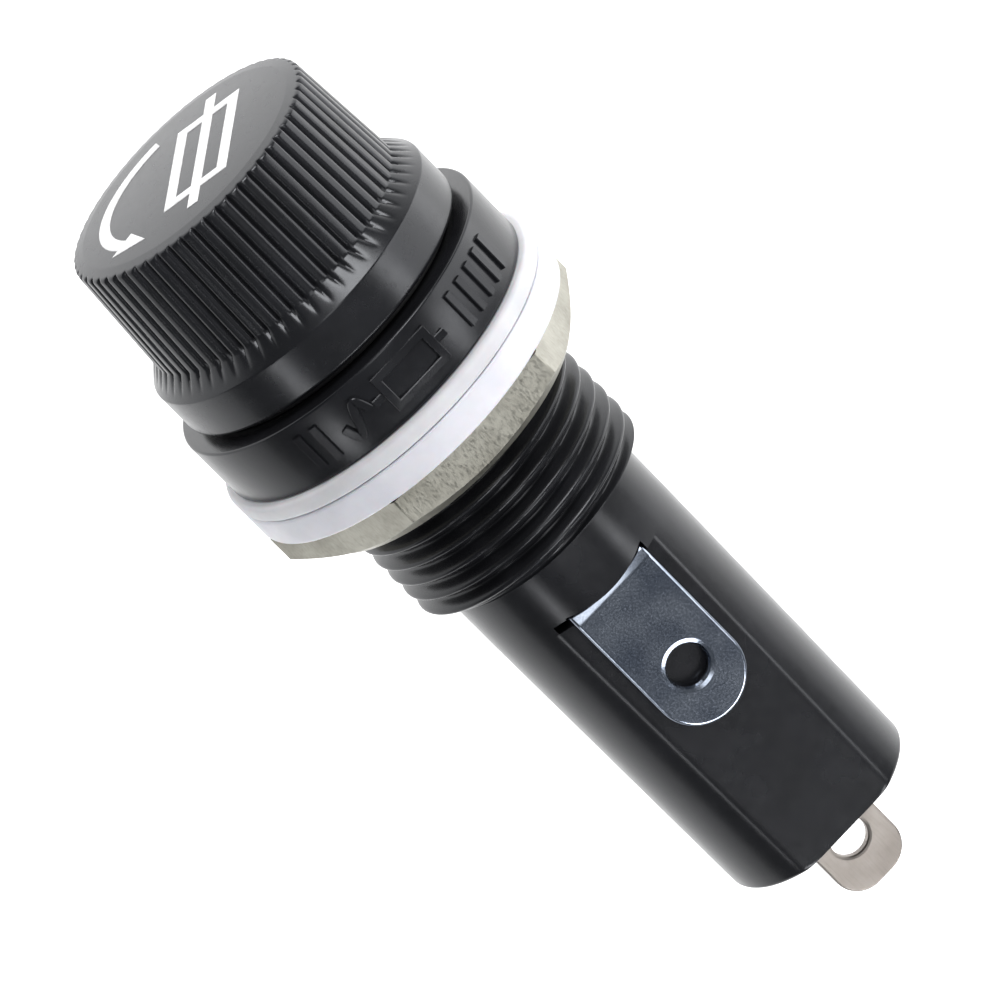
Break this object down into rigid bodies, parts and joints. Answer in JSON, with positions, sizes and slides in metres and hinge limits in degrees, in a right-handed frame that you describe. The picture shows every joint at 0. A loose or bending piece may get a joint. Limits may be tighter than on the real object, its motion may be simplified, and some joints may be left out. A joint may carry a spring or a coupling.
{
  "type": "cartridge fuse holder",
  "caption": "Panel-mount holder for a cartridge fuse: knurled screw cap, flanged threaded barrel, clamping nut and washers, side and end solder lugs, fuse and sprung contacts inside.",
  "frame": {"origin": "centre of the flange's back face, where the panel sits, on the axis of the barrel", "axes": "+Y along the barrel from the cap to the end lug, +Z towards the side lug, +X across"},
  "size_m": [0.0178, 0.0481, 0.0178],
  "materials": {
    "black_moulding": "moulded black thermoset, semi-gloss",
    "black_cap": "moulded black thermoset, semi-gloss, with a white printed symbol on the face",
    "black_rubber": "matt rubber",
    "white_gasket": "soft white rubber, satin",
    "white_washer": "white nylon, satin",
    "zinc_nut": "zinc-plated steel with a faint yellow tint, turned and milled marks",
    "tinned_lug": "bright tinned brass",
    "nickel_lug": "satin nickel-plated brass",
    "brass_contacts": "pressed brass",
    "nickel_shell": "nickel-plated pressed brass",
    "spring_steel": "drawn spring wire",
    "solder": "set solder, dull",
    "fuse_glass": "clear drawn glass",
    "fuse_end_caps": "nickel-plated brass",
    "fuse_wire": "tinned wire"
  },
  "bodies": {
    "holder": {"body_moulding": "black_moulding", "contact_sleeve": "brass_contacts", "side_terminal": "tinned_lug", "sleeve_solder": "solder", "end_contact_cup": "brass_contacts", "end_terminal": "nickel_lug"},
    "washers": {"panel_gasket": "white_gasket", "spacer_washer": "white_washer"},
    "nut": {"hex_nut": "zinc_nut"},
    "fuse": {"fuse_glass_tube": "fuse_glass", "fuse_cap_front": "fuse_end_caps", "fuse_cap_rear": "fuse_end_caps", "fuse_element": "fuse_wire", "fuse_solder_front": "solder", "fuse_solder_rear": "solder"},
    "spring_seat": {"spring_plate": "brass_contacts", "cap_spring": "spring_steel"},
    "cap": {"cap_knob": "black_cap", "cap_seal": "black_rubber", "cap_thread_shell": "nickel_shell"}
  },
  "joints": [
    {"name": "fuse_pull", "type": "slide", "parent": "holder", "child": "fuse", "axis": [0, -1, 0], "range_m": [0, 0.036]},
    {"name": "cap_turn", "type": "hinge", "parent": "fuse", "child": "spring_seat", "pos_m": [0, 0, 0], "axis": [0, -1, 0], "range_deg": [0, 720]},
    {"name": "cap_rise", "type": "slide", "parent": "spring_seat", "child": "cap", "axis": [0, -1, 0], "range_m": [0, 0.003], "deforming": ["cap_spring"]},
    {"name": "nut_travel", "type": "slide", "parent": "holder", "child": "washers", "axis": [0, 1, 0], "range_m": [0, 0.006]},
    {"name": "nut_turn", "type": "hinge", "parent": "washers", "child": "nut", "pos_m": [0, 0, 0], "axis": [0, 1, 0], "range_deg": [0, 2160]}
  ],
  "couplings": [
    {"joint": "cap_turn", "follows": "cap_rise", "rad_per_m": 4188.8},
    {"joint": "nut_turn", "follows": "nut_travel", "rad_per_m": 6283.2}
  ]
}
